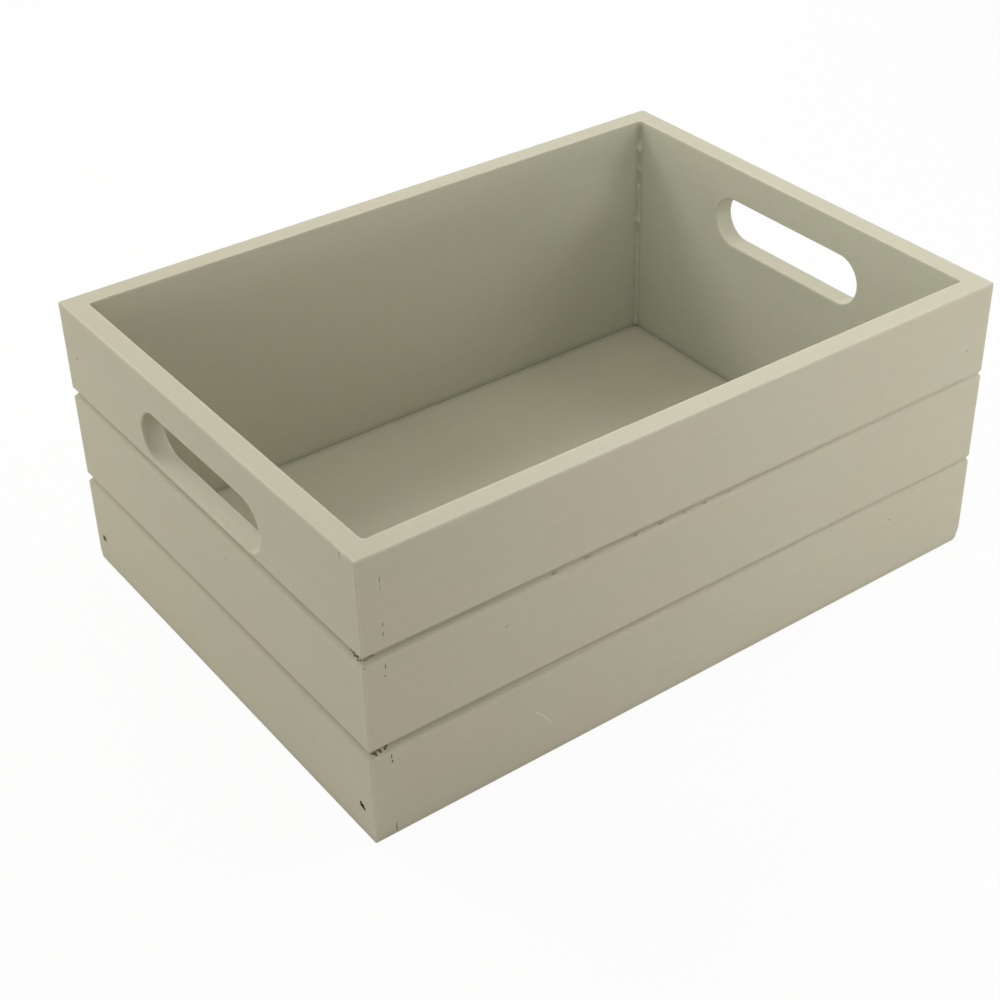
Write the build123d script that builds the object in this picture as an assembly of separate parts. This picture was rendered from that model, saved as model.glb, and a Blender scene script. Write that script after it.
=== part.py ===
from build123d import *
import os

os.makedirs("parts", exist_ok=True)

# Open wooden storage box, in millimetres.
# The origin is the middle of the footprint, on the surface that the box stands on.
# +X runs along the length, +Y from the front to the back, +Z upwards.

# Overall size
box_length = 360.0
box_width = 260.0
box_height = 150.0

# Boards of the four walls, and how far their edges are sanded round
board_thickness = 11.0
edge_ease = 0.8
rim_inner_ease = 0.6

# Finger joints at the corners, in rows counted from the bottom edge to the rim.
# The end boards own the lowest row, and the rows alternate from there.
finger_rows = 14

# Grooves routed round the outside, which divide each wall into equal courses
course_count = 3
groove_width = 5.6
groove_depth = 2.4
groove_lip_ease = 0.6
groove_tip_radius = 0.3

# Hand slot through each end board, with half-round ends and eased edges
slot_length = 106.0
slot_height = 27.0
slot_below_rim = 19.0
slot_edge_ease = 1.0

# Base board, held in a groove round the inside of the walls
base_thickness = 5.0
base_recess = 14.0
base_groove_depth = 4.5
base_side_clearance = 0.3
base_top_clearance = 0.2

# How far a cutting shape runs past what it cuts
overrun = 2.0

# Places and sizes worked out from the values above
half_length = box_length / 2
half_width = box_width / 2
inside_length = box_length - 2 * board_thickness
inside_width = box_width - 2 * board_thickness
end_board_middle = half_length - board_thickness / 2
long_board_middle = half_width - board_thickness / 2
finger_height = box_height / finger_rows
course_lines = [box_height * course / course_count for course in range(1, course_count)]
slot_middle_height = box_height - slot_below_rim - slot_height / 2
base_groove_height = base_thickness + base_top_clearance
base_groove_middle_height = base_recess + base_groove_height / 2
base_tongue = base_groove_depth - base_side_clearance


def groove_section():
    """What the V cutter takes out, seen along a groove: the wall's face is at 0 and the air on the +X side."""
    lower_face = (0, -groove_width)
    lower_lip = (0, -groove_width / 2)
    tip = (-groove_depth, 0)
    upper_lip = (0, groove_width / 2)
    upper_face = (0, groove_width)
    radii = [groove_lip_ease, groove_tip_radius, groove_lip_ease]
    surface = FilletPolyline(lower_face, lower_lip, tip, upper_lip, upper_face, radius=radii)
    groove = surface.edges().sort_by(Axis.Y)[1:-1]
    start = groove[0] @ 0
    end = groove[-1] @ 1
    air = Polyline(end, (overrun, end.Y), (overrun, start.Y), start)
    return make_face([*groove, *air.edges()])


def sanded_outside():
    """Outer shape of the glued-up box: eased edges, and V grooves that mitre at the corners."""
    outside = Pos(0, 0, box_height / 2) * Box(box_length, box_width, box_height)
    outside = fillet(outside.edges(), edge_ease)
    end_groove = extrude(Plane.XZ * groove_section(), half_width + overrun, both=True)
    long_groove = extrude(Plane.YZ * groove_section(), half_length + overrun, both=True)
    for line in course_lines:
        for turn in (0, 180):
            outside -= Rot(0, 0, turn) * Pos(half_length, 0, line) * end_groove
            outside -= Rot(0, 0, turn) * Pos(0, half_width, line) * long_groove
    return outside


def base_pocket():
    """Groove round the inside of all four walls, which the base board's edges go into."""
    length = inside_length + 2 * base_groove_depth
    width = inside_width + 2 * base_groove_depth
    return Pos(0, 0, base_groove_middle_height) * Box(length, width, base_groove_height)


def finished_walls():
    """The four walls as one finished shape, which the boards then share between them."""
    hollow = extrude(Rectangle(inside_length, inside_width), box_height + 2 * overrun)
    walls = sanded_outside() - Pos(0, 0, -overrun) * hollow
    rim = walls.faces().sort_by(Axis.Z)[-1]
    walls = fillet(rim.inner_wires()[0].edges(), rim_inner_ease)
    return walls - base_pocket()


def corner_fingers(first_row):
    """Fingers of one board at one corner: a block in every other row from first_row up."""
    finger = Box(board_thickness, board_thickness, finger_height)
    return [Pos(0, 0, (row + 1 / 2) * finger_height) * finger for row in range(first_row, finger_rows, 2)]


def long_board(walls, side):
    """Front (side -1) or back (side 1) board. Its base groove runs out through both ends."""
    share = Box(inside_length, board_thickness, box_height)
    share = Pos(0, side * long_board_middle, box_height / 2) * share
    for end in (-1, 1):
        for finger in corner_fingers(1):
            share += Pos(end * end_board_middle, side * long_board_middle, 0) * finger
    groove_middle = side * (half_width - board_thickness + base_groove_depth / 2)
    through_groove = Box(box_length + 2 * overrun, base_groove_depth, base_groove_height)
    return (walls & share) - Pos(0, groove_middle, base_groove_middle_height) * through_groove


def hand_slot():
    """What a round-over cutter takes out for a hand slot, as if through a board at the origin."""
    face = board_thickness / 2
    wall = slot_height / 2
    mouth = wall + slot_edge_ease
    outer_side = Polyline((-face - overrun, 0), (-face - overrun, mouth), (-face, mouth))
    outer_ease = JernArc((-face, mouth), (0, -1), slot_edge_ease, 90)
    flat = Line((slot_edge_ease - face, wall), (face - slot_edge_ease, wall))
    inner_ease = JernArc((face - slot_edge_ease, wall), (1, 0), slot_edge_ease, 90)
    inner_side = Polyline((face, mouth), (face + overrun, mouth), (face + overrun, 0))
    middle = Line((face + overrun, 0), (-face - overrun, 0))
    half_cut = make_face([outer_side, outer_ease, flat, inner_ease, inner_side, middle])
    half_run = (slot_length - slot_height) / 2
    cut = extrude(Plane.XZ * (half_cut + mirror(half_cut, about=Plane.XZ)), half_run, both=True)
    for end in (-1, 1):
        cut += Pos(0, end * half_run, 0) * revolve(Plane.XZ * half_cut, axis=Axis.X)
    return cut


def end_board(walls, side):
    """Left (side -1) or right (side 1) end board, with its hand slot."""
    share = Box(board_thickness, inside_width, box_height)
    share = Pos(side * end_board_middle, 0, box_height / 2) * share
    for end in (-1, 1):
        for finger in corner_fingers(0):
            share += Pos(side * end_board_middle, end * long_board_middle, 0) * finger
    return (walls & share) - Pos(side * end_board_middle, 0, slot_middle_height) * hand_slot()


def base_board():
    """Flat board that rests on the lower side of the groove in the walls."""
    length = inside_length + 2 * base_tongue
    width = inside_width + 2 * base_tongue
    return Pos(0, 0, base_recess + base_thickness / 2) * Box(length, width, base_thickness)


walls = finished_walls()
boards = {
    "front_board": long_board(walls, -1),
    "back_board": long_board(walls, 1),
    "left_end_board": end_board(walls, -1),
    "right_end_board": end_board(walls, 1),
    "base_board": base_board(),
}

for name, board in boards.items():
    export_step(board, f"parts/{name}.step")
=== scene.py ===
import math
import random

import bpy
from mathutils import Matrix, Vector


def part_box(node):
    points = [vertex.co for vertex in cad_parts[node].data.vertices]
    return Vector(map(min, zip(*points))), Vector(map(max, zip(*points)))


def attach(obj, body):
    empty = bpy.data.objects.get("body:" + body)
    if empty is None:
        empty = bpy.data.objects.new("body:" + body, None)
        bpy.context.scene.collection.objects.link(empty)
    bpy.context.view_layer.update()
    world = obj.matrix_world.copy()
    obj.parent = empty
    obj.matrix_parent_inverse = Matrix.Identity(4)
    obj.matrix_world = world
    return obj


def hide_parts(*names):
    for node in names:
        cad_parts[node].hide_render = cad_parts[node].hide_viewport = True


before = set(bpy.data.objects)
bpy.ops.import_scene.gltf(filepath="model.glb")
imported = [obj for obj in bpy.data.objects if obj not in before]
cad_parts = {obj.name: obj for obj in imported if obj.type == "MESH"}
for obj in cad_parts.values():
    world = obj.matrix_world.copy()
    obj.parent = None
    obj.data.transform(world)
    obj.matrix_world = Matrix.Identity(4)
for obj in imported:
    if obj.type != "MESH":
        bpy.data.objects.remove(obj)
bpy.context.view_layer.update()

# An open wooden storage box, painted with a brush and a little worn. Its walls are copies of the packed
# boards with the wear cut into them, and paint that has built up is modelled as pieces of its own. The
# packed base board keeps its shape and is painted.


# Sizes of the box. Those with long names are in metres, and L, W, H, T, LOWER and UPPER are in mm.

MM = 0.001
MERGED = 0.001 * MM         # points that are nearer to each other than this are merged

front_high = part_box("front_board")[1]
end_low, end_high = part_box("left_end_board")
base_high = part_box("base_board")[1]
HALF_LENGTH = front_high.x
HALF_WIDTH = end_high.y
HEIGHT = front_high.z
BOARD = end_high.x - end_low.x
FINGER_ROWS = 14
FINGER = HEIGHT / FINGER_ROWS
GROOVES = (HEIGHT / 3, HEIGHT * 2 / 3)
FLOOR_TOP = base_high.z
SLOT_RADIUS = 13.5 * MM
SLOT_HALF_RUN = 39.5 * MM   # from the slot's middle to the middle of each round end
SLOT_MIDDLE = HEIGHT - 32.5 * MM

L, W, H, T = (value / MM for value in (HALF_LENGTH, HALF_WIDTH, HEIGHT, BOARD))
LOWER, UPPER = (height / MM for height in GROOVES)


# Small helpers

def linear(hex_colour):
    """Turns an sRGB hex colour to the linear values that Blender's sockets take."""
    channels = [int(hex_colour[i:i + 2], 16) / 255 for i in (1, 3, 5)]
    values = [c / 12.92 if c <= 0.04045 else ((c + 0.055) / 1.055) ** 2.4 for c in channels]
    return (*values, 1.0)


def add(tree, kind, settings=None, **inputs):
    """Adds a node with its settings. Inputs are named sockets, or _0, _1 for the first and second."""
    node = tree.nodes.new(kind)
    for name, value in (settings or {}).items():
        setattr(node, name, value)
    for name, value in inputs.items():
        socket = node.inputs[int(name[1:])] if name[0] == "_" else node.inputs[name.replace("_", " ")]
        if isinstance(value, bpy.types.NodeSocket):
            tree.links.new(value, socket)
        else:
            socket.default_value = value
    return node


def put_in_scene(name, data):
    """A new object with this name and data."""
    holder = bpy.data.objects.new(name, data)
    bpy.context.scene.collection.objects.link(holder)
    return holder


def only(piece):
    """Selects one object alone, because an operator acts on all that is selected."""
    bpy.ops.object.select_all(action="DESELECT")
    piece.select_set(True)
    bpy.context.view_layer.objects.active = piece


def settle(piece):
    """Puts a piece's place, turn and size in its mesh, so that the object sits at the origin."""
    only(piece)
    bpy.ops.object.transform_apply(location=True, rotation=True, scale=True)


def name_new(name):
    """Names and settles the primitive that was just added."""
    piece = bpy.context.object
    piece.name = piece.data.name = name
    settle(piece)
    return piece


def apply(piece, modifier):
    only(piece)
    bpy.ops.object.modifier_apply(modifier=modifier.name)


def edit_all(piece):
    """Opens a piece in edit mode with all of it selected."""
    only(piece)
    bpy.ops.object.mode_set(mode="EDIT")
    bpy.ops.mesh.select_all(action="SELECT")


def stop_editing():
    bpy.ops.object.mode_set(mode="OBJECT")


def pick(piece, test, kind="VERT"):
    """Selects, in edit mode, the vertices that pass a test, or the edges or faces whose middle passes it.
    The test of a face also gets its normal."""
    bpy.ops.object.mode_set(mode="EDIT")
    bpy.ops.mesh.select_mode(type=kind)
    bpy.ops.mesh.select_all(action="DESELECT")
    stop_editing()
    points = piece.data.vertices
    if kind == "VERT":
        for point in points:
            point.select = test(point.co)
    else:
        parts = piece.data.edges if kind == "EDGE" else piece.data.polygons
        for part in parts:
            middle = sum((points[i].co for i in part.vertices), Vector()) / len(part.vertices)
            part.select = test(middle) if kind == "EDGE" else test(middle, part.normal)
    bpy.ops.object.mode_set(mode="EDIT")


# Camera, at the photograph's viewing angle

CAMERA_PLACE = Vector((-0.4670, -0.6314, 0.5816))
CAMERA_TURN = -36.15        # degrees round the box, from straight in front towards the left
CAMERA_HEIGHT = 34.49       # degrees above level
CAMERA_ROLL = 1.0           # degrees that the camera leans clockwise
FOCAL_PIXELS = 1882
PICTURE_PIXELS = 1000
MIDDLE_PIXEL = (520, 480)   # the point of the picture that the lens looks straight at
SENSOR_WIDTH = 36           # mm


def make_camera():
    turn, height, roll = (math.radians(a) for a in (CAMERA_TURN, CAMERA_HEIGHT, CAMERA_ROLL))
    back = Vector((math.sin(turn) * math.cos(height), -math.cos(turn) * math.cos(height), math.sin(height)))
    right = Vector((0, 0, 1)).cross(back).normalized()
    up = back.cross(right)
    axes = Matrix((right, up, back)).transposed() @ Matrix.Rotation(-roll, 3, "Z")
    camera = bpy.data.cameras.new("studio_camera")
    camera.sensor_width = SENSOR_WIDTH
    camera.lens = FOCAL_PIXELS / PICTURE_PIXELS * SENSOR_WIDTH
    camera.shift_x = (PICTURE_PIXELS / 2 - MIDDLE_PIXEL[0]) / PICTURE_PIXELS
    camera.shift_y = (MIDDLE_PIXEL[1] - PICTURE_PIXELS / 2) / PICTURE_PIXELS
    camera.clip_start = 10 * MM
    holder = put_in_scene("studio_camera", camera)
    holder.matrix_world = Matrix.Translation(CAMERA_PLACE) @ axes.to_4x4()
    bpy.context.scene.camera = holder


# Light: soft boxes round and over the table, and a white room. Places and sizes are in metres.

SOFT_BOXES = [
    # name, place, the point it is turned to, size, watts, colour
    ("left", (-1.5, -0.1, 0.6), (0, 0, 0.08), (0.9, 0.9), 7.76, "#F8FCFF"),
    ("front", (-0.2, -1.6, 0.5), (0, 0, 0.08), (0.9, 0.9), 5.05, "#FFF6EE"),
    ("front_low", (0.3, -0.6, 0.15), (0.15, -0.13, 0.13), (0.3, 0.1), 1.03, "#FAF8FC"),
    ("front_right", (0.5, -0.2, 0.5), (0.1, -0.1, 0.1), (0.3, 0.3), 1.25, "#FDFFFD"),
    ("overhead", (0.05, 0, 0.9), (0, 0, 0.1), (0.6, 0.6), 1.50, "#FFF8E4"),
    ("over_front", (0, -0.2, 0.5), (0.1, 0.13, 0.1), (0.2, 0.2), 0.58, "#E4F0FF"),
    ("over_back_left", (-0.4, 0.8, 1.0), (0, 0, 0.1), (0.5, 0.5), 6.80, "#FFFBF8"),
    ("over_back_right", (0.6, 0.6, 0.9), (0, 0, 0.1), (0.5, 0.5), 2.86, "#F4F4FF"),
    ("back", (-0.5, 0.9, 0.35), (0, 0, 0.12), (0.6, 0.4), 2.35, "#FFF5DF"),
    ("back_right", (0.6, 0.9, 0.35), (0, 0, 0.12), (0.6, 0.4), 3.30, "#F4F8FF"),
]


def make_lights():
    for name, place, target, size, watts, colour in SOFT_BOXES:
        lamp = bpy.data.lights.new(name, "AREA")
        lamp.shape = "RECTANGLE"
        lamp.size, lamp.size_y = size
        lamp.energy = watts
        lamp.color = linear(colour)[:3]
        holder = put_in_scene(name, lamp)
        holder.location = place
        holder.rotation_euler = (Vector(target) - Vector(place)).to_track_quat("-Z", "Y").to_euler()
        holder.visible_camera = False


ROOM_FILL = 0.005           # light that the room itself gives
FLOOR_SIZE = 6              # metres
FLOOR_DROP = 0.2 * MM       # how far the floor is under the box
FLOOR_GLOW = 0.94           # share of the floor that shows as plain white; the rest keeps the shadow


def looking_ray(tree):
    """1 for a ray from the camera, a reflection or glass, which see the room as white, and 0 for light."""
    path = add(tree, "ShaderNodeLightPath")
    seen = path.outputs["Is Camera Ray"]
    for ray in ("Is Glossy Ray", "Is Transmission Ray"):
        seen = add(tree, "ShaderNodeMath", {"operation": "MAXIMUM"}, _0=seen, _1=path.outputs[ray]).outputs[0]
    return seen


def make_room():
    """White world: white to the camera and in reflections, and only a faint fill for the box."""
    world = bpy.data.worlds.new("white_room")
    bpy.context.scene.world = world
    world.use_nodes = True
    tree = world.node_tree
    tree.nodes.clear()
    fill = add(tree, "ShaderNodeBackground", Color=linear("#FFFFFF"), Strength=ROOM_FILL)
    white = add(tree, "ShaderNodeBackground", Color=linear("#FFFFFF"), Strength=1.0)
    mix = add(tree, "ShaderNodeMixShader", _0=looking_ray(tree), _1=fill.outputs[0], _2=white.outputs[0])
    add(tree, "ShaderNodeOutputWorld", Surface=mix.outputs[0])


def new_material(name):
    """A material that has no nodes yet, and its tree."""
    material = bpy.data.materials.new(name)
    material.use_nodes = True
    material.node_tree.nodes.clear()
    return material, material.node_tree


def matt_white_paper():
    """Studio paper: it shows as white with a faint shadow, and is clear from below."""
    material, tree = new_material("matt_white_paper")
    paper = add(tree, "ShaderNodeBsdfDiffuse", Color=linear("#E6E6E4"))
    glow = add(tree, "ShaderNodeEmission", Color=linear("#FFFFFF"), Strength=1.0)
    share = add(tree, "ShaderNodeMath", {"operation": "MULTIPLY"}, _0=looking_ray(tree), _1=FLOOR_GLOW)
    mix = add(tree, "ShaderNodeMixShader", _0=share.outputs[0], _1=paper.outputs[0], _2=glow.outputs[0])
    below = add(tree, "ShaderNodeNewGeometry").outputs["Backfacing"]
    clear = add(tree, "ShaderNodeBsdfTransparent", Color=linear("#FFFFFF"))
    one_sided = add(tree, "ShaderNodeMixShader", _0=below, _1=mix.outputs[0], _2=clear.outputs[0])
    add(tree, "ShaderNodeOutputMaterial", Surface=one_sided.outputs[0])
    return material


def make_floor():
    bpy.ops.mesh.primitive_plane_add(size=FLOOR_SIZE, location=(0, 0, -FLOOR_DROP))
    floor = name_new("floor")
    floor.data.materials.append(matt_white_paper())


# Materials

# Sizes of the paint's patterns, along a board and across it, in mm. Single bristle marks are under half a
# millimetre apart, too fine to show in the render, so they are drawn a little coarser.
PATCHES = (90, 45)
GRAIN = (60, 2.2)
MOTTLE = (5, 4)
BRISTLES = (35, 0.7)
CHALK_DUST = (0.7, 0.7)
BURNISH = (0.9, 0.9)
TORN_FIBRES = (0.4, 0.4)

COOL_LIGHT_FROM, COOL_LIGHT_TO = -0.12, 0.16    # where along the box the painted cool light inside begins to tint the paint greyer, and ends
DUST_AND_SHADE_REACH = 5 * MM                     # how far from a fold the dust and the painted shade reach
WORN_REACH, WORN_THROUGH = 1.8 * MM, 0.4 * MM   # where an edge's wear begins, and where it is whole


def stretched(tree, coords, along, periods):
    """Object coordinates counted in a pattern's own periods: one along the grain and one across it, in mm."""
    scale = [1 / (periods[1] * MM)] * 3
    scale["XYZ".index(along)] = 1 / (periods[0] * MM)
    return add(tree, "ShaderNodeVectorMath", {"operation": "MULTIPLY"}, _0=coords, _1=scale).outputs[0]


def edge_distance(tree, coords):
    """How far a point of the box's surface is from the nearest edge that hands and knocks reach: an outer
    edge of the box, the inner edge of the rim, or an edge of a hand slot. In metres."""
    # The outer edges: depth behind the second nearest of the box's faces
    centred = add(tree, "ShaderNodeVectorMath", {"operation": "SUBTRACT"}, _0=coords, _1=(0, 0, HEIGHT / 2))
    folded = add(tree, "ShaderNodeVectorMath", {"operation": "ABSOLUTE"}, _0=centred.outputs[0])
    depths = add(tree, "ShaderNodeVectorMath", {"operation": "SUBTRACT"},
                 _0=(HALF_LENGTH, HALF_WIDTH, HEIGHT / 2), _1=folded.outputs[0])
    x, y, z = add(tree, "ShaderNodeSeparateXYZ", Vector=depths.outputs[0]).outputs
    nearer = add(tree, "ShaderNodeMath", {"operation": "MINIMUM"}, _0=x, _1=y).outputs[0]
    further = add(tree, "ShaderNodeMath", {"operation": "MAXIMUM"}, _0=x, _1=y).outputs[0]
    third = add(tree, "ShaderNodeMath", {"operation": "MINIMUM"}, _0=further, _1=z).outputs[0]
    outer = add(tree, "ShaderNodeMath", {"operation": "MAXIMUM"}, _0=nearer, _1=third).outputs[0]

    # The inner edge of the rim
    from_inside = add(tree, "ShaderNodeMath", {"operation": "SUBTRACT"}, _0=nearer, _1=BOARD).outputs[0]
    from_inside = add(tree, "ShaderNodeMath", {"operation": "ABSOLUTE"}, _0=from_inside).outputs[0]
    rim = add(tree, "ShaderNodeMath", {"operation": "MAXIMUM"}, _0=from_inside, _1=z).outputs[0]

    # The slots' edges: off the slot's outline, where a metre along X takes X out of the count, and behind
    # the nearer face of the end board
    off_centre = add(tree, "ShaderNodeVectorMath", {"operation": "SUBTRACT"}, _0=coords, _1=(0, 0, SLOT_MIDDLE))
    off_centre = add(tree, "ShaderNodeVectorMath", {"operation": "ABSOLUTE"}, _0=off_centre.outputs[0])
    past_run = add(tree, "ShaderNodeVectorMath", {"operation": "SUBTRACT"},
                   _0=off_centre.outputs[0], _1=(1, SLOT_HALF_RUN, 0))
    past_run = add(tree, "ShaderNodeVectorMath", {"operation": "MAXIMUM"}, _0=past_run.outputs[0], _1=(0, 0, 0))
    reach = add(tree, "ShaderNodeVectorMath", {"operation": "LENGTH"}, _0=past_run.outputs[0]).outputs["Value"]
    reach = add(tree, "ShaderNodeMath", {"operation": "SUBTRACT"}, _0=reach, _1=SLOT_RADIUS).outputs[0]
    reach = add(tree, "ShaderNodeMath", {"operation": "ABSOLUTE"}, _0=reach).outputs[0]
    inner_face = add(tree, "ShaderNodeMath", {"operation": "SUBTRACT"}, _0=x, _1=BOARD).outputs[0]
    inner_face = add(tree, "ShaderNodeMath", {"operation": "ABSOLUTE"}, _0=inner_face).outputs[0]
    face = add(tree, "ShaderNodeMath", {"operation": "MINIMUM"}, _0=x, _1=inner_face).outputs[0]
    slot = add(tree, "ShaderNodeMath", {"operation": "MAXIMUM"}, _0=reach, _1=face).outputs[0]

    nearest = add(tree, "ShaderNodeMath", {"operation": "MINIMUM"}, _0=outer, _1=rim).outputs[0]
    return add(tree, "ShaderNodeMath", {"operation": "MINIMUM"}, _0=nearest, _1=slot).outputs[0]


def painted_cool_light_share(tree, coords):
    """Share of the painted cool light that tints the inside greyer: 0 outside the box, and inside it rises to 1
    towards the right end.
    """
    folded = add(tree, "ShaderNodeVectorMath", {"operation": "ABSOLUTE"}, _0=coords)
    depths = add(tree, "ShaderNodeVectorMath", {"operation": "SUBTRACT"},
                 _0=(HALF_LENGTH, HALF_WIDTH, 1), _1=folded.outputs[0])
    x, y, _ = add(tree, "ShaderNodeSeparateXYZ", Vector=depths.outputs[0]).outputs
    nearer = add(tree, "ShaderNodeMath", {"operation": "MINIMUM"}, _0=x, _1=y).outputs[0]
    indoors = add(tree, "ShaderNodeMath", {"operation": "GREATER_THAN"}, _0=nearer, _1=BOARD - 0.3 * MM).outputs[0]
    place = add(tree, "ShaderNodeSeparateXYZ", Vector=coords).outputs["X"]
    rise = add(tree, "ShaderNodeMapRange", Value=place, From_Min=COOL_LIGHT_FROM, From_Max=COOL_LIGHT_TO).outputs[0]
    return add(tree, "ShaderNodeMath", {"operation": "MULTIPLY"}, _0=indoors, _1=rise).outputs[0]


def brushed_chalk_paint(name, along, inside="#B7B6A2"):
    """Chalk paint brushed on sanded softwood. It is matt and nearly even: the brush leaves fine ridges
    along the board, the grain shows through faintly, and the colour drifts a little in broad patches. Inside
    the box it turns a little greyer, to the inside colour: painted cool light, rising towards the right end.
    Dust and painted shade darken the folds, and the edges that hands and knocks reach are rubbed paler and
    smoother."""
    material, tree = new_material(name)
    coords = add(tree, "ShaderNodeTexCoord").outputs["Object"]

    patches = add(tree, "ShaderNodeTexNoise", Vector=stretched(tree, coords, along, PATCHES),
                  Scale=1.0, Detail=2.0, Roughness=0.5).outputs[0]
    grain = add(tree, "ShaderNodeTexNoise", Vector=stretched(tree, coords, along, GRAIN),
                Scale=1.0, Detail=4.0, Roughness=0.6, Distortion=0.3).outputs[0]
    mottle = add(tree, "ShaderNodeTexNoise", Vector=stretched(tree, coords, along, MOTTLE),
                 Scale=1.0, Detail=3.0, Roughness=0.6).outputs[0]
    bristles = add(tree, "ShaderNodeTexNoise", Vector=stretched(tree, coords, along, BRISTLES),
                   Scale=1.0, Detail=2.0, Roughness=0.5).outputs[0]
    chalk = add(tree, "ShaderNodeTexNoise", Vector=stretched(tree, coords, along, CHALK_DUST),
                Scale=1.0, Detail=2.0, Roughness=0.6).outputs[0]

    # The colour, with its patches, and the tone that the grain and small flecks give it
    drift = add(tree, "ShaderNodeMapRange", Value=patches, From_Min=0.3, From_Max=0.7)
    colour = add(tree, "ShaderNodeMix", {"data_type": "RGBA"},
                 _0=drift.outputs[0], _6=linear("#B9B39E"), _7=linear("#B8B59F"))
    # Inside the box the colour is tinted to the inside colour: painted cool light, rising towards the right end
    colour = add(tree, "ShaderNodeMix", {"data_type": "RGBA"},
                 _0=painted_cool_light_share(tree, coords), _6=colour.outputs[2], _7=linear(inside))
    streak = add(tree, "ShaderNodeMapRange", Value=grain, From_Min=0.3, From_Max=0.7, To_Min=0.985, To_Max=1.015)
    fleck = add(tree, "ShaderNodeMapRange", Value=mottle, From_Min=0.3, From_Max=0.7, To_Min=0.985, To_Max=1.015)
    tone = add(tree, "ShaderNodeMath", {"operation": "MULTIPLY"}, _0=streak.outputs[0], _1=fleck.outputs[0])

    # Dust gathers, and painted shade darkens the paint, where the surface folds in: in the grooves, down the inner
    # corners and round the base
    fold = add(tree, "ShaderNodeAmbientOcclusion", {"samples": 4}, Distance=DUST_AND_SHADE_REACH).outputs["AO"]
    dust_and_painted_shade = add(tree, "ShaderNodeMapRange", Value=fold, From_Min=0.45, From_Max=0.9, To_Min=0.72, To_Max=1.0)
    tone = add(tree, "ShaderNodeMath", {"operation": "MULTIPLY"}, _0=tone.outputs[0], _1=dust_and_painted_shade.outputs[0])
    shaded = add(tree, "ShaderNodeVectorMath", {"operation": "SCALE"}, _0=colour.outputs[2], Scale=tone.outputs[0])

    # Wear makes the edges paler and smoother, in patches that follow the grain
    edge = add(tree, "ShaderNodeMapRange", Value=edge_distance(tree, coords),
               From_Min=WORN_REACH, From_Max=WORN_THROUGH)
    patchy = add(tree, "ShaderNodeMapRange", Value=grain, From_Min=0.35, From_Max=0.65, To_Min=0.1, To_Max=0.4)
    wear = add(tree, "ShaderNodeMath", {"operation": "MULTIPLY"}, _0=edge.outputs[0], _1=patchy.outputs[0])
    worn = add(tree, "ShaderNodeMix", {"data_type": "RGBA"},
               _0=wear.outputs[0], _6=shaded.outputs[0], _7=linear("#C9C5B2"))
    rough = add(tree, "ShaderNodeMapRange", Value=chalk, To_Min=0.74, To_Max=0.9)
    smooth = add(tree, "ShaderNodeMix", {"data_type": "FLOAT"}, _0=wear.outputs[0], _2=rough.outputs[0], _3=0.6)

    relief = add(tree, "ShaderNodeBump", Height=grain, Strength=0.25, Distance=0.1 * MM)
    relief = add(tree, "ShaderNodeBump", Height=bristles, Strength=0.2, Distance=0.06 * MM,
                 Normal=relief.outputs[0])
    relief = add(tree, "ShaderNodeBump", Height=chalk, Strength=0.25, Distance=0.05 * MM,
                 Normal=relief.outputs[0])
    paint = add(tree, "ShaderNodeBsdfPrincipled", Base_Color=worn.outputs[2], Roughness=smooth.outputs[0],
                Normal=relief.outputs[0], IOR=1.5, Specular_IOR_Level=0.3)
    add(tree, "ShaderNodeOutputMaterial", Surface=paint.outputs[0])
    return material


def torn_end_grain(name, dark, light):
    """Bare softwood end grain, torn by the cutter or by a knock: dull, rough and uneven, with dust
    between its fibres."""
    material, tree = new_material(name)
    coords = add(tree, "ShaderNodeTexCoord").outputs["Object"]
    fibres = add(tree, "ShaderNodeTexNoise", Vector=stretched(tree, coords, "Z", TORN_FIBRES),
                 Scale=1.0, Detail=3.0, Roughness=0.6).outputs[0]
    colour = add(tree, "ShaderNodeMix", {"data_type": "RGBA"}, _0=fibres, _6=linear(dark), _7=linear(light))
    relief = add(tree, "ShaderNodeBump", Height=fibres, Strength=0.6, Distance=0.2 * MM)
    wood = add(tree, "ShaderNodeBsdfPrincipled", Base_Color=colour.outputs[2], Roughness=0.9,
               Normal=relief.outputs[0])
    add(tree, "ShaderNodeOutputMaterial", Surface=wood.outputs[0])
    return material


def burnished_chalk_paint():
    """Chalk paint burnished by a rub, which is paler and a little smoother than the rest."""
    material, tree = new_material("burnished_chalk_paint")
    coords = add(tree, "ShaderNodeTexCoord").outputs["Object"]
    chalk = add(tree, "ShaderNodeTexNoise", Vector=stretched(tree, coords, "X", BURNISH),
                Scale=1.0, Detail=2.0).outputs[0]
    colour = add(tree, "ShaderNodeMix", {"data_type": "RGBA"},
                 _0=chalk, _6=linear("#C2BEAA"), _7=linear("#CBC7B4"))
    relief = add(tree, "ShaderNodeBump", Height=chalk, Strength=0.2, Distance=0.05 * MM)
    paint = add(tree, "ShaderNodeBsdfPrincipled", Base_Color=colour.outputs[2], Roughness=0.6,
                Normal=relief.outputs[0])
    add(tree, "ShaderNodeOutputMaterial", Surface=paint.outputs[0])
    return material


bpy.context.scene.view_settings.view_transform = "Standard"
make_camera()
make_lights()
make_room()
make_floor()

PAINT_ALONG_X = brushed_chalk_paint("brushed_chalk_paint_long_boards", "X")
PAINT_ALONG_Y = brushed_chalk_paint("brushed_chalk_paint_end_boards", "Y")
# The base's inside colour is its own tint of the painted cool light
PAINT_ON_BASE = brushed_chalk_paint("brushed_chalk_paint_base", "X", inside="#B8B39D")
# The holes' end grain is made very dark: bare wood with the painted shade of the open groove behind it
BARE_WOOD_IN_PAINTED_SHADE = torn_end_grain("torn_softwood_end_grain_in_painted_shade", "#3A3528", "#6E6550")
CHIPPED = torn_end_grain("chipped_paint_on_softwood", "#6A624D", "#948A70")
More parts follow.
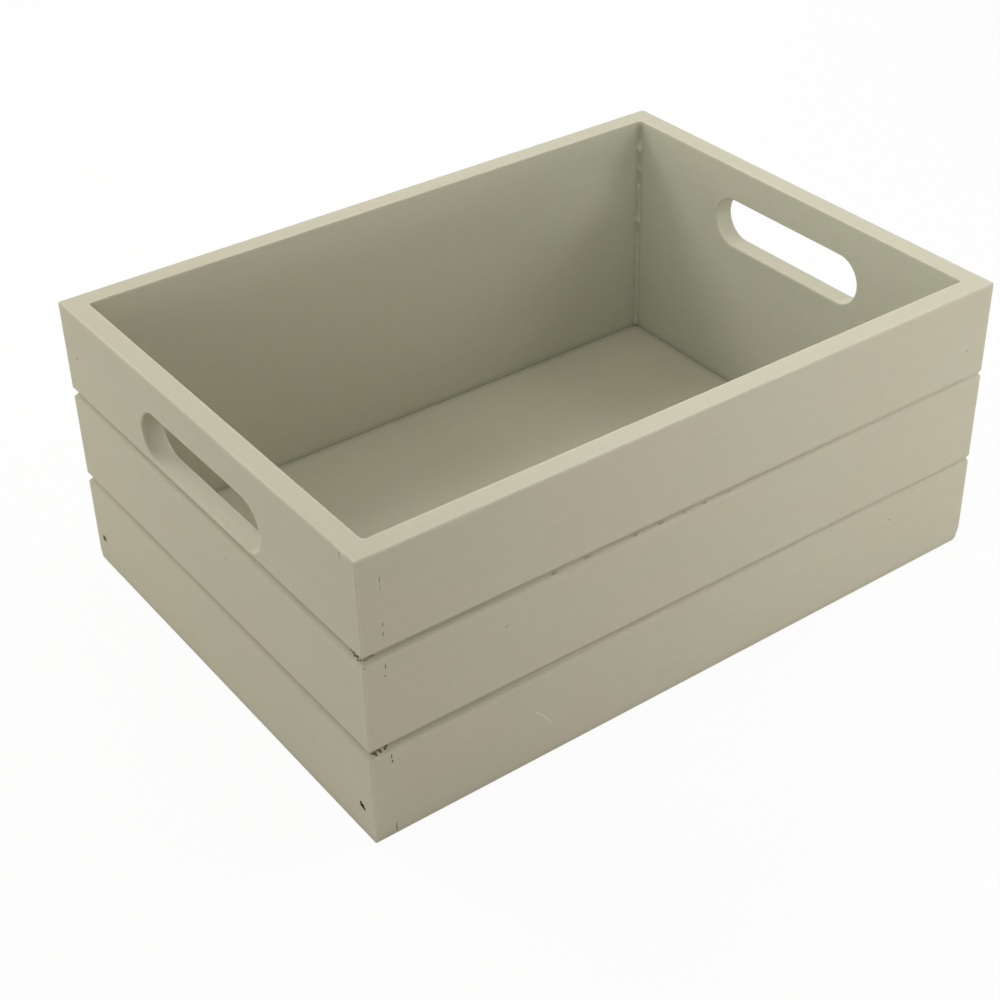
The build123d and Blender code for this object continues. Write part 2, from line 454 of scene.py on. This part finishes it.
# Paint coloured darker, for marks that are sunk a little
DARKER_PAINT = torn_end_grain("darker_paint_on_softwood", "#958F79", "#AEA893")
RUBBED = burnished_chalk_paint()


# Marks on the boards: (board, place, size) in mm. Each is cut out of its board with a ragged lump, whose
# shape comes from a seed: its number in its list, counted from the list's own first seed.

FIRST_CRACK_SEED, FIRST_DENT_SEED, FIRST_DARKENED_SEED = 0, 90, 120
JOINT = T - 0.1             # how far from a corner the cracks are, at the ends of the other board's fingers
CRACK_SIZE = (0.45, 1.5)    # size across an unseen crack, and twice its depth
CRACK_TALL = (1.4, 4.0)     # the least and the most
CRACK_PLACE = (0.3, 0.7)    # the least and the most, as a share of the finger's height

# Marks that the photograph shows. The cracks are on the front face beside the near corner, where the end
# board's fingers end, and the chips are low in the two grooves there. The last is a chip at the far left.
SEEN_MARKS = [
    ("left_end_board", (-L + JOINT, -W, 137.0), (0.45, 1.6, 3.0)),
    ("left_end_board", (-L + JOINT + 0.1, -W, 132.4), (0.35, 1.2, 3.0)),
    ("left_end_board", (-L + JOINT, -W, 114.9), (0.4, 1.4, 2.2)),
    ("left_end_board", (-L + JOINT, -W, 109.9), (0.5, 1.6, 3.0)),
    ("left_end_board", (-L + JOINT, -W, 93.0), (0.6, 2.0, 3.4)),
    ("left_end_board", (-L + JOINT - 0.4, -W, 88.2), (0.5, 1.2, 1.1)),
    ("left_end_board", (-L + JOINT, -W + 0.2, 44.4), (1.0, 1.9, 2.6)),
    ("front_board", (-L + JOINT, -W, 41.6), (0.9, 1.3, 1.5)),
    ("left_end_board", (-L + JOINT, -W, 3.4), (0.5, 2.2, 8.0)),
    ("left_end_board", (-L + 1.7, -W + 1.9, LOWER - 0.4), (1.4, 1.4, 0.8)),
    ("left_end_board", (-L + 3.6, -W + 1.6, LOWER - 0.8), (2.4, 1.6, 1.2)),
    ("left_end_board", (-L + 3.9, -W + 1.3, LOWER - 1.8), (1.3, 1.4, 1.4)),
    ("left_end_board", (-L + 5.4, -W + 1.7, LOWER - 0.5), (1.3, 1.4, 0.8)),
    ("left_end_board", (-L + 6.3, -W + 1.5, LOWER - 1.1), (1.4, 1.6, 1.9)),
    ("left_end_board", (-L + 8.5, -W + 1.5, LOWER - 1.1), (0.9, 1.5, 1.8)),
    ("left_end_board", (-L + 9.6, -W + 1.8, LOWER - 0.4), (1.7, 1.4, 1.2)),
    ("front_board", (-L, -W + 10.7, 147.4), (1.4, 0.4, 3.4)),
    ("front_board", (-L + 1.5, -W + 3.2, UPPER - 1.2), (1.4, 1.2, 0.9)),
    ("front_board", (-L + 1.3, -W + 4.6, UPPER - 1.8), (1.3, 0.8, 1.3)),
    ("front_board", (-L + 1.7, -W + 5.7, UPPER - 0.8), (1.4, 1.3, 1.4)),
    ("front_board", (-L + 1.5, -W + 7.1, UPPER - 1.2), (1.4, 1.4, 1.1)),
    ("front_board", (-L + 1.8, -W + 8.7, UPPER - 0.7), (1.3, 1.8, 0.9)),
    ("front_board", (-L + 2.0, -W + 10.4, UPPER - 0.5), (1.2, 1.2, 0.6)),
    ("front_board", (-L + 1.2, -W + 0.2, UPPER - 3.3), (1.0, 1.0, 0.9)),
    ("back_board", (-L + 1.3, W - 10.4, UPPER - 1.4), (1.6, 2.4, 2.0)),
]

# Places beside the near corner that are cut in a little and coloured darker
DARKENED_PLACES = [
    ("front_board", (-L + 2.6, -W + 2.0, UPPER - 0.3), (3.6, 1.4, 1.6)),
    ("front_board", (-L + 5.4, -W + 2.2, UPPER - 0.2), (3.2, 1.0, 1.0)),
    ("left_end_board", (-L + 1.3, -W + 10.4, UPPER - 1.6), (0.9, 1.6, 1.4)),
]

# Dents and pores that the paint covers
PAINTED_DENTS = [
    ("front_board", (L - 55.4, -W, 36.0), (1.5, 0.6, 1.0)),
    ("front_board", (L - 13.6, -W, 117.5), (1.5, 0.6, 1.0)),
    ("front_board", (-L + 71.0, -W, 84.0), (2.2, 0.5, 0.8)),
    ("left_end_board", (-L, W - 12.6, 124.6), (0.6, 1.6, 2.0)),
    ("left_end_board", (-L, -W + 112.0, 86.0), (0.5, 1.6, 1.0)),
    ("right_end_board", (L, 61.0, 82.0), (0.6, 2.0, 1.1)),
    ("right_end_board", (L, -84.0, 27.0), (0.6, 1.4, 1.2)),
    ("back_board", (96.0, W, 121.0), (1.8, 0.6, 1.1)),
    ("back_board", (-41.0, W, 74.0), (2.2, 0.6, 1.0)),
    ("back_board", (-118.0, W, 31.0), (1.5, 0.6, 1.3)),
]

# Lower corners that are knocked off: the sides of the box that meet there, and the radius left in mm
KNOCKED_CORNERS = {"right_end_board": (1, -1, 3.2), "left_end_board": (-1, 1, 2.5)}
KNOCK_SLOPES = (0.3, 0.55, 1.0, 2.0)    # how far each cut there leans downwards

EASED_TURN = 35             # degrees; an eased edge's faces turn by less, and are smoothed
FLAT_WEIGHT = 90            # of 100: how far a board's large faces keep their own direction in that

# The scratch low on the front face, in mm and degrees. It is grazed off by a bent rod.
SCRATCH_MIDDLE = (-L + 62.8, -W - 0.47, 2.2)    # of the circle that the rod bends round
SCRATCH_BEND = 34.7
SCRATCH_ROD = 0.6           # radius of the rod
SCRATCH_START, SCRATCH_SWEEP = 49.1, -24.9


def unseen_cracks(side_x, side_y, count, seed, faces=("long", "end")):
    """Fine cracks at the finger ends of one corner, where the photograph shows none clearly. The end boards'
    fingers end on the long faces in even rows, the long boards' on the end faces in odd ones."""
    chance = random.Random(seed)
    end_owner = {-1: "left_end_board", 1: "right_end_board"}[side_x]
    long_owner = {-1: "front_board", 1: "back_board"}[side_y]
    finger = FINGER / MM
    wide, deep = CRACK_SIZE
    marks = []
    for row in sorted(chance.sample(range(FINGER_ROWS), count)):
        height = (row + chance.uniform(*CRACK_PLACE)) * finger
        tall = chance.uniform(*CRACK_TALL)
        if row % 2 == 0 and "long" in faces:
            marks.append((end_owner, (side_x * (L - JOINT), side_y * W, height), (wide, deep, tall)))
        if row % 2 == 1 and "end" in faces:
            marks.append((long_owner, (side_x * L, side_y * (W - JOINT), height), (deep, wide, tall)))
    return marks


def board_copy(node, material):
    """A copy of a CAD board with its loose triangles joined up, so that it can be cut."""
    name = node + "_painted"
    board = put_in_scene(name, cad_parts[node].data.copy())
    board.data.name = name
    only(board)
    bpy.ops.mesh.customdata_custom_splitnormals_clear()
    edit_all(board)
    bpy.ops.mesh.remove_doubles(threshold=MERGED)
    stop_editing()
    board.data.materials.clear()
    board.data.materials.append(material)
    return board


def splinter(place, size, seed, material, rough=0.3):
    """A ragged lump, for cutting a chip, a crack or a pore: place and size are in mm."""
    bpy.ops.mesh.primitive_ico_sphere_add(subdivisions=2, radius=1)
    lump = name_new("splinter")
    edit_all(lump)
    bpy.ops.transform.vertex_random(offset=rough, uniform=0.5, normal=0.5, seed=seed)
    stop_editing()
    lump.scale = Vector(size) * MM / 2
    lump.location = Vector(place) * MM
    settle(lump)
    lump.data.materials.append(material)
    return lump


def splinters_for(node, marks, first_seed, material, rough=0.3):
    """The lumps for one board's share of a list of marks."""
    return [splinter(place, size, first_seed + i, material, rough)
            for i, (owner, place, size) in enumerate(marks) if owner == node]


def scratch_cutter():
    """A thin bent rod that grazes the front face: what it takes off is the scratch."""
    middle, start = Vector(SCRATCH_MIDDLE), math.radians(SCRATCH_START)
    place = middle + Vector((math.cos(start), 0, math.sin(start))) * SCRATCH_BEND
    bpy.ops.mesh.primitive_circle_add(vertices=12, radius=SCRATCH_ROD * MM, fill_type="NGON",
                                      location=place * MM, rotation=(0, -start, 0))
    rod = name_new("scratch_cutter")
    rod.data.materials.append(RUBBED)
    edit_all(rod)
    bpy.ops.mesh.spin(steps=12, angle=math.radians(SCRATCH_SWEEP), center=middle * MM, axis=(0, 1, 0))
    bpy.ops.mesh.select_all(action="SELECT")
    bpy.ops.mesh.normals_make_consistent(inside=False)
    stop_editing()
    return rod


def carve(piece, lumps):
    """Cuts a list of lumps out of a piece, each leaving its own material on the cut."""
    for lump in lumps:
        cut = piece.modifiers.new("cut", "BOOLEAN")
        cut.operation = "DIFFERENCE"
        cut.solver = "EXACT"
        cut.material_mode = "TRANSFER"
        cut.object = lump
        apply(piece, cut)
        bpy.data.objects.remove(lump)


def knock_off_corner(board, side_x, side_y, ball):
    """Rounds a lower corner of the box with cuts that touch one ball."""
    middle = Vector((side_x * (L - ball), side_y * (W - ball), ball))
    for slope in KNOCK_SLOPES:
        outwards = Vector((side_x, side_y, -slope)).normalized()
        edit_all(board)
        bpy.ops.mesh.bisect(plane_co=(middle + outwards * ball) * MM, plane_no=outwards, use_fill=True,
                            clear_outer=True)
        stop_editing()


def finish_board(board, node):
    """Smooths the eased edges but keeps the faces flat, and puts the board in its node's place."""
    only(board)
    bpy.ops.object.shade_smooth_by_angle(angle=math.radians(EASED_TURN))
    flat = board.modifiers.new("flat_faces", "WEIGHTED_NORMAL")
    flat.mode = "FACE_AREA"
    flat.weight = FLAT_WEIGHT
    flat.keep_sharp = True
    apply(board, flat)
    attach(board, "root")
    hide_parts(node)


def make_boards():
    cracks = SEEN_MARKS + unseen_cracks(-1, 1, 8, 11, ("long",)) + unseen_cracks(1, 1, 8, 12)
    cracks += unseen_cracks(1, -1, 9, 13, ("end",))
    boards = {}
    for node, paint in (("front_board", PAINT_ALONG_X), ("back_board", PAINT_ALONG_X),
                        ("left_end_board", PAINT_ALONG_Y), ("right_end_board", PAINT_ALONG_Y)):
        boards[node] = board_copy(node, paint)
    for node, board in boards.items():
        lumps = splinters_for(node, cracks, FIRST_CRACK_SEED, CHIPPED)
        lumps += splinters_for(node, PAINTED_DENTS, FIRST_DENT_SEED, board.data.materials[0], 0.15)
        lumps += splinters_for(node, DARKENED_PLACES, FIRST_DARKENED_SEED, DARKER_PAINT, 0.25)
        if node == "front_board":
            lumps.append(scratch_cutter())
        carve(board, lumps)
        if node in KNOCKED_CORNERS:
            knock_off_corner(board, *KNOCKED_CORNERS[node])
        finish_board(board, node)


# Paint that has run together or built up in places, as pieces of its own. All sizes are in mm.

def add_block(name, low, high, material):
    """A block between two corners."""
    low, high = Vector(low), Vector(high)
    bpy.ops.mesh.primitive_cube_add(size=1, location=(low + high) / 2 * MM)
    bpy.context.object.scale = (high - low) * MM
    block = name_new(name)
    block.data.materials.append(material)
    return block


def roughen(piece, test, amount, seed):
    """Moves the chosen points at random by up to an amount, then softens them."""
    pick(piece, test)
    bpy.ops.transform.vertex_random(offset=amount * MM, uniform=1.0, normal=0.0, seed=seed)
    bpy.ops.mesh.vertices_smooth(factor=0.5, repeat=1)
    stop_editing()


def finish_paint(piece, angle=60):
    """Smooths what turns by less than an angle in degrees, and joins the paint to the box."""
    only(piece)
    bpy.ops.object.shade_smooth_by_angle(angle=math.radians(angle))
    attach(piece, "root")


# Paint that fills the inner corners. Its face is a hollow quarter round: this profile value of the bevel
# gives one, because its middle then lies where a circle's would.
HOLLOW = (1 - math.sqrt(1 / 2)) ** 2
CORNER_SUNK = 0.7           # how deep the paint's hidden sides lie in the boards
CORNER_BELOW_RIM = 0.02
CORNER_CUTS = 100           # how often the paint is divided along its height, for its lumps
CORNER_STEPS = 8            # faces across the hollow
CORNER_SMOOTH_END = 1.5     # length at the rim that stays smooth
RIM_EASE = 0.6


def corner_paint(name, side_x, side_y, radius, lumps, seed, knots=(), gaps=()):
    """Paint down one inner corner, from the base to the rim, where it is eased as the rim is. Knots are
    thicker places, (height, size), and gaps are where it leaves a hole, (height, length)."""
    corner = Vector((side_x * (L - T), side_y * (W - T)))
    hidden = corner + Vector((side_x, side_y)) * CORNER_SUNK
    open_side = corner - Vector((side_x, side_y)) * radius
    top = H - CORNER_BELOW_RIM
    low = (min(hidden.x, open_side.x), min(hidden.y, open_side.y), FLOOR_TOP / MM - CORNER_SUNK)
    high = (max(hidden.x, open_side.x), max(hidden.y, open_side.y), top)
    bead = add_block(name, low, high, PAINT_ALONG_Y)

    def to_open_side(point):
        return (Vector((point.x, point.y)) / MM - open_side).length

    def on_show(point, share=0.1):
        """Whether a point is on the hollow face, within a share of its radius."""
        return abs(to_open_side(point) - radius) < share * radius

    pick(bead, lambda middle: FLOOR_TOP < middle.z < H / 2 * MM + FLOOR_TOP, "EDGE")
    bpy.ops.mesh.subdivide(number_cuts=CORNER_CUTS)
    pick(bead, lambda middle: to_open_side(middle) < 0.01, "EDGE")
    bpy.ops.mesh.bevel(offset=radius * MM, segments=CORNER_STEPS, profile=HOLLOW, affect="EDGES")
    pick(bead, lambda middle: middle.z > (top - 0.01) * MM and on_show(middle, 0.06), "EDGE")
    bpy.ops.mesh.bevel(offset=RIM_EASE * MM, segments=3, affect="EDGES")
    stop_editing()

    out = Vector((-side_x, -side_y, 0)) * MM
    for height, size in knots:
        pick(bead, lambda point: on_show(point) and abs(point.z / MM - height) < size)
        bpy.ops.transform.translate(value=out * size / 3)
        stop_editing()
    # Gaps are sunk a little and coloured darker
    if gaps:
        bead.data.materials.append(DARKER_PAINT)
        bead.active_material_index = 1
    for height, long in gaps:
        pick(bead, lambda middle, normal: on_show(middle) and abs(middle.z / MM - height) < long / 2, "FACE")
        bpy.ops.object.material_slot_assign()
        bpy.ops.transform.translate(value=-out * radius / 4)
        stop_editing()
    roughen(bead, lambda point: on_show(point, 0.6) and point.z < (top - CORNER_SMOOTH_END) * MM, lumps, seed)
    finish_paint(bead)


# Drips in the front's upper groove: (distance from the left end, length)
DRIPS = [(97.3, 1.9), (115.6, 2.6), (141.9, 1.7), (156.3, 2.4), (169.6, 1.6), (181.4, 1.5), (196.0, 1.9)]
DRIP_IN, DRIP_DOWN = 1.15, 1.15     # how far they are behind the front face, and below the groove's middle
DRIP_DEEP, DRIP_TALL = 0.9, 0.65
DRIP_STRETCH = 1.4                  # a drip's foot is longer than what shows of it
FIRST_DRIP_SEED = 70

# Flat blobs of paint beside the far inner corner: (place, size)
BLOBS = [
    ((L - T - 1.6, W - T + 0.1, 88.6), (4.6, 1.1, 3.4)),
    ((L - T - 1.2, W - T + 0.1, 134.2), (2.6, 0.9, 3.0)),
    ((L - T + 0.1, W - T - 3.0, 86.4), (0.8, 2.6, 2.2)),
]


def paint_drips():
    """The drips, which lie on the lower side of the groove, and the blobs."""
    places = [((-L + from_end, -W + DRIP_IN, UPPER - DRIP_DOWN), (DRIP_STRETCH * long, DRIP_DEEP, DRIP_TALL))
              for from_end, long in DRIPS]
    drips = [splinter(place, size, FIRST_DRIP_SEED + i, PAINT_ALONG_X, 0.2)
             for i, (place, size) in enumerate(places + BLOBS)]
    only(drips[0])
    for drip in drips:
        drip.select_set(True)
    bpy.ops.object.join()
    joined = bpy.context.object
    joined.name = joined.data.name = "paint_drips"
    finish_paint(joined)


# Paint that has built up in the outer grooves, so that they are narrower and shallower towards the
# right-hand end, as in the photograph. For each corner, by the sides of the box: the share of the groove's
# width and of its depth that is left. More than 1 lies hidden in the boards.
GROOVE_DEPTH, GROOVE_HALF = 2.4, 2.8
GROOVE_LEFT = [((-1, -1), 1.05, 0.95), ((1, -1), 0.6, 0.35), ((1, 1), 0.75, 0.6), ((-1, 1), 0.9, 0.85)]
GROOVE_BACKING = 1.25       # size of the paint's hidden sides, against the groove's
GROOVE_PAINT_SUNK = 0.28    # how far the paint stays below the box's faces
GROOVE_PAINT_STOP = 14      # how far from the first corner the paint stops
GROOVE_PAINT_CUTS = 15      # how often it is divided along each wall, because its sides twist a little
SECTION_REACH = 10          # each point of the paint's section is nearer than this to the groove's mouth
WALL_MIDDLE_REACH = 20      # each edge along a wall has its middle nearer than this to the wall's middle


def groove_paint_ring(name, line):
    """A ring of paint round the box, which lines a groove. It is drawn out from corner to corner."""
    bpy.ops.mesh.primitive_circle_add(vertices=4, radius=1, fill_type="NGON", rotation=(math.radians(90), 0, 0))
    ring = name_new(name)
    edit_all(ring)
    bpy.ops.mesh.delete(type="ONLY_FACE")
    stop_editing()

    # The section is a V for the hidden sides, and the smaller V of what is left of the groove
    (first_x, first_y), wide, deep = GROOVE_LEFT[0]
    pick(ring, lambda middle: middle.x > 0.1, "EDGE")
    bpy.ops.mesh.subdivide(number_cuts=1)
    pick(ring, lambda point: point.x > 0.1)
    smaller = Vector((-2 * deep, GROOVE_BACKING, 2 * wide)) / GROOVE_BACKING
    bpy.ops.transform.resize(value=smaller, center_override=(0.5, 0, 0))
    bpy.ops.transform.translate(value=(-0.5, 0, 0))
    stop_editing()

    # Turned to look out of the first corner, and put in the groove there
    ring.scale = Vector((math.sqrt(2) * GROOVE_DEPTH, GROOVE_HALF, GROOVE_HALF)) * GROOVE_BACKING * MM
    ring.rotation_euler = (0, 0, math.radians(225))
    mouth = Vector((first_x * (L - GROOVE_PAINT_SUNK), first_y * (W - GROOVE_PAINT_SUNK), line)) * MM
    ring.location = mouth
    settle(ring)
    ring.data.materials.append(PAINT_ALONG_X)

    # Each wall: the section is drawn to the next corner, turned to look out of it, and fitted to it
    around = GROOVE_LEFT + GROOVE_LEFT[:1]
    for ((old_x, old_y), old_wide, old_deep), ((new_x, new_y), wide, deep) in zip(around, around[1:]):
        pick(ring, lambda point: (point - mouth).length < SECTION_REACH * MM)
        bpy.ops.mesh.extrude_region_move(TRANSFORM_OT_translate={"value": (0, 0, 0)})
        bpy.ops.transform.resize(value=(old_x * new_x, old_y * new_y, 1), center_override=(0, 0, 0))
        mouth = Vector((new_x * abs(mouth.x), new_y * abs(mouth.y), mouth.z))
        lip, tip = old_wide * GROOVE_HALF * MM, old_deep * GROOVE_DEPTH * MM
        ends = (mouth + Vector((0, 0, lip)), mouth - Vector((0, 0, lip)), mouth - Vector((new_x, new_y, 0)) * tip)
        pick(ring, lambda point: min((point - end).length for end in ends) < 0.01 * MM)
        change = (deep / old_deep, deep / old_deep, wide / old_wide)
        bpy.ops.transform.resize(value=change, center_override=mouth)
    bpy.ops.mesh.select_all(action="SELECT")
    bpy.ops.mesh.remove_doubles(threshold=MERGED)
    bpy.ops.mesh.normals_make_consistent(inside=False)

    # It stops short of the first corner, where chips show the wood
    stop = mouth - Vector((first_x, first_y, 0)) * GROOVE_PAINT_STOP / 2 * MM
    bpy.ops.mesh.bisect(plane_co=stop, plane_no=(first_x, first_y, 0), use_fill=True, clear_outer=True)

    pick(ring, lambda middle: min(abs(middle.x), abs(middle.y)) < WALL_MIDDLE_REACH * MM, "EDGE")
    bpy.ops.mesh.subdivide(number_cuts=GROOVE_PAINT_CUTS)
    stop_editing()
    return ring


def groove_paint():
    """The paint in the lower groove, and a copy of it in the upper one."""
    lower = groove_paint_ring("groove_paint_lower", LOWER)
    upper = put_in_scene("groove_paint_upper", lower.data.copy())
    upper.data.name = upper.name
    upper.location.z = (UPPER - LOWER) * MM
    settle(upper)
    for ring in (lower, upper):
        finish_paint(ring, 45)


# Paint in the open ends of the base groove, with the holes that are left in each: (side_x, side_y, what
# shows in the holes, holes), a hole being (distance from the long face, height, size along Y, size along Z,
# depth). The paint is a little larger than the groove, so that its sides lie in the wood.
PLUG_FROM_LONG_FACE = (6.2, 11.3)
PLUG_HEIGHTS = (13.7, 19.5)
PLUG_FROM_END_FACE = (0.05, 6)
FIRST_HOLE_SEED = 40
# Holes that show the very dark end grain have the groove's shade painted into it
GROOVE_ENDS = [
    (-1, -1, BARE_WOOD_IN_PAINTED_SHADE, [(8.8, 15.7, 3.0, 3.0, 5.0), (9.9, 16.7, 1.7, 2.0, 4.0), (7.4, 14.8, 2.4, 1.6, 3.5),
                         (10.6, 15.3, 1.3, 1.3, 2.5), (6.5, 14.2, 1.0, 0.9, 1.5)]),
    (-1, 1, CHIPPED, [(8.4, 15.4, 3.4, 2.8, 1.0), (8.8, 16.0, 4.2, 3.4, 0.4), (7.4, 15.6, 2.4, 3.2, 0.4)]),
    (1, -1, BARE_WOOD_IN_PAINTED_SHADE, [(9.0, 15.2, 3.2, 1.4, 3.0), (7.6, 15.8, 1.6, 1.1, 2.0)]),
    (1, 1, BARE_WOOD_IN_PAINTED_SHADE, [(8.2, 16.2, 3.8, 1.5, 4.0), (9.6, 15.4, 1.6, 1.4, 3.0)]),
]


def groove_end_paint(side_x, side_y, under, holes):
    """The paint in one end of the base groove."""
    end, long = {-1: "left", 1: "right"}[side_x], {-1: "front", 1: "back"}[side_y]
    xs = sorted(side_x * (L - inwards) for inwards in PLUG_FROM_END_FACE)
    ys = sorted(side_y * (W - inwards) for inwards in PLUG_FROM_LONG_FACE)
    low, high = zip(xs, ys, PLUG_HEIGHTS)
    plug = add_block(f"groove_end_paint_{end}_{long}", low, high, PAINT_ALONG_Y)
    lumps = [splinter((side_x * L, side_y * (W - from_face), height), (2 * depth, along, up),
                      FIRST_HOLE_SEED + i, under)
             for i, (from_face, height, along, up, depth) in enumerate(holes)]
    carve(plug, lumps)
    finish_paint(plug, 35)


make_boards()
corner_paint("corner_paint_left_front", -1, -1, 2.0, 0.25, 1)
corner_paint("corner_paint_left_back", -1, 1, 0.8, 0.25, 2)
corner_paint("corner_paint_right_front", 1, -1, 1.0, 0.3, 3)
corner_paint("corner_paint_right_back", 1, 1, 1.7, 0.45, 4,
             knots=[(133.5, 1.8), (109.2, 1.5), (88.5, 2.2), (63.0, 1.0), (21.0, 2.0)],
             gaps=[(142.0, 6.0), (126.0, 4.0), (114.5, 5.5), (82.0, 3.5)])
paint_drips()
groove_paint()
for groove_end in GROOVE_ENDS:
    groove_end_paint(*groove_end)

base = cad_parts["base_board"]
base.data.materials.clear()
base.data.materials.append(PAINT_ON_BASE)
